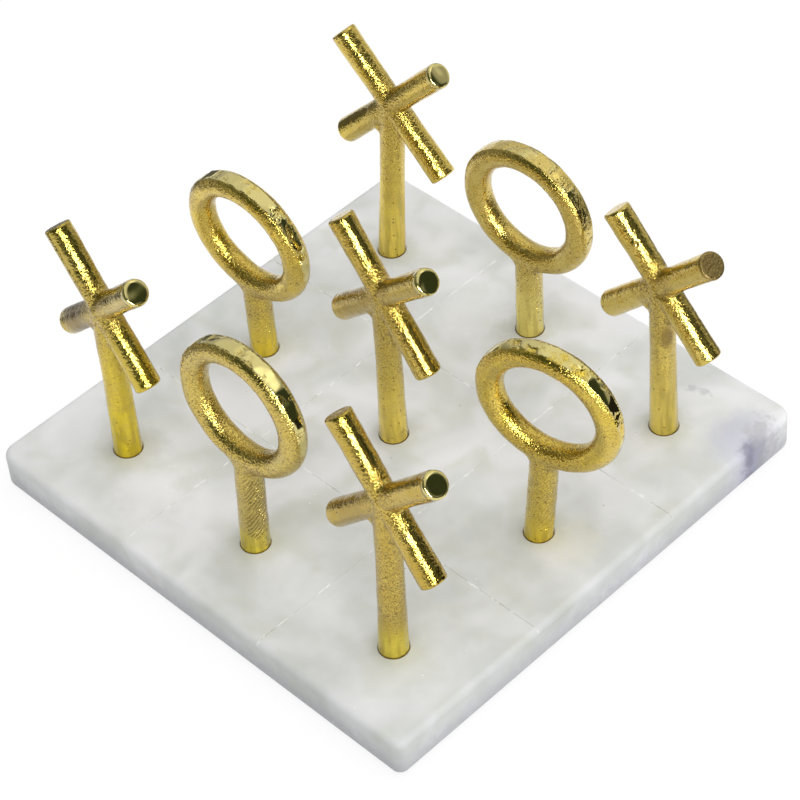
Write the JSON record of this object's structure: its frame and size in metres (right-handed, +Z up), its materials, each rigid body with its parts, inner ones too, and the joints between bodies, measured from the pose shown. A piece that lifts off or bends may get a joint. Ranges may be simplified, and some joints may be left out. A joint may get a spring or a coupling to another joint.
{
  "type": "tic-tac-toe board",
  "caption": "Square marble slab scored into cells, each with a drilled hole, and cast gold-toned X and O pieces that stand in the holes on round stems and lift out",
  "frame": {"origin": "centre of the square board, on the surface that its felt pads rest on", "axes": "+Z up, +X to the board's right and -Y towards its front, along the sides of the square"},
  "size_m": [0.2077, 0.203, 0.1151],
  "materials": {
    "marble": "honed",
    "gold_cast_metal": "sand cast and gold-toned, with dressed rims and bar ends",
    "felt": "pressed felt"
  },
  "bodies": {
    "board": {"slab": "marble", "pad_front_left": "felt", "pad_front_right": "felt", "pad_back_left": "felt", "pad_back_right": "felt"},
    "x_piece_front_left": {"x_piece_front_left": "gold_cast_metal"},
    "o_piece_front": {"o_piece_front": "gold_cast_metal"},
    "x_piece_front_right": {"x_piece_front_right": "gold_cast_metal"},
    "o_piece_left": {"o_piece_left": "gold_cast_metal"},
    "x_piece_centre": {"x_piece_centre": "gold_cast_metal"},
    "o_piece_right": {"o_piece_right": "gold_cast_metal"},
    "x_piece_back_left": {"x_piece_back_left": "gold_cast_metal"},
    "o_piece_back": {"o_piece_back": "gold_cast_metal"},
    "x_piece_back_right": {"x_piece_back_right": "gold_cast_metal"}
  },
  "joints": [
    {"name": "lift_x_front_left", "type": "slide", "parent": "board", "child": "x_piece_front_left", "axis": [0.0262, -0.0087, 0.9996], "range_m": [0, 0.02]},
    {"name": "lift_o_front", "type": "slide", "parent": "board", "child": "o_piece_front", "axis": [0.0262, 0.0262, 0.9993], "range_m": [0, 0.02]},
    {"name": "lift_x_front_right", "type": "slide", "parent": "board", "child": "x_piece_front_right", "axis": [0.0087, 0.0349, 0.9994], "range_m": [0, 0.02]},
    {"name": "lift_o_left", "type": "slide", "parent": "board", "child": "o_piece_left", "axis": [0.061, -0.0523, 0.9968], "range_m": [0, 0.02]},
    {"name": "lift_x_centre", "type": "slide", "parent": "board", "child": "x_piece_centre", "axis": [0.0436, -0.0175, 0.9989], "range_m": [0, 0.02]},
    {"name": "lift_o_right", "type": "slide", "parent": "board", "child": "o_piece_right", "axis": [0.1132, -0.0087, 0.9935], "range_m": [0, 0.02]},
    {"name": "lift_x_back_left", "type": "slide", "parent": "board", "child": "x_piece_back_left", "axis": [0.0436, 0.0523, 0.9977], "range_m": [0, 0.02]},
    {"name": "lift_o_back", "type": "slide", "parent": "board", "child": "o_piece_back", "axis": [0.0349, -0.0087, 0.9994], "range_m": [0, 0.02]},
    {"name": "lift_x_back_right", "type": "slide", "parent": "board", "child": "x_piece_back_right", "axis": [0.0174, -0.0349, 0.9992], "range_m": [0, 0.02]}
  ]
}
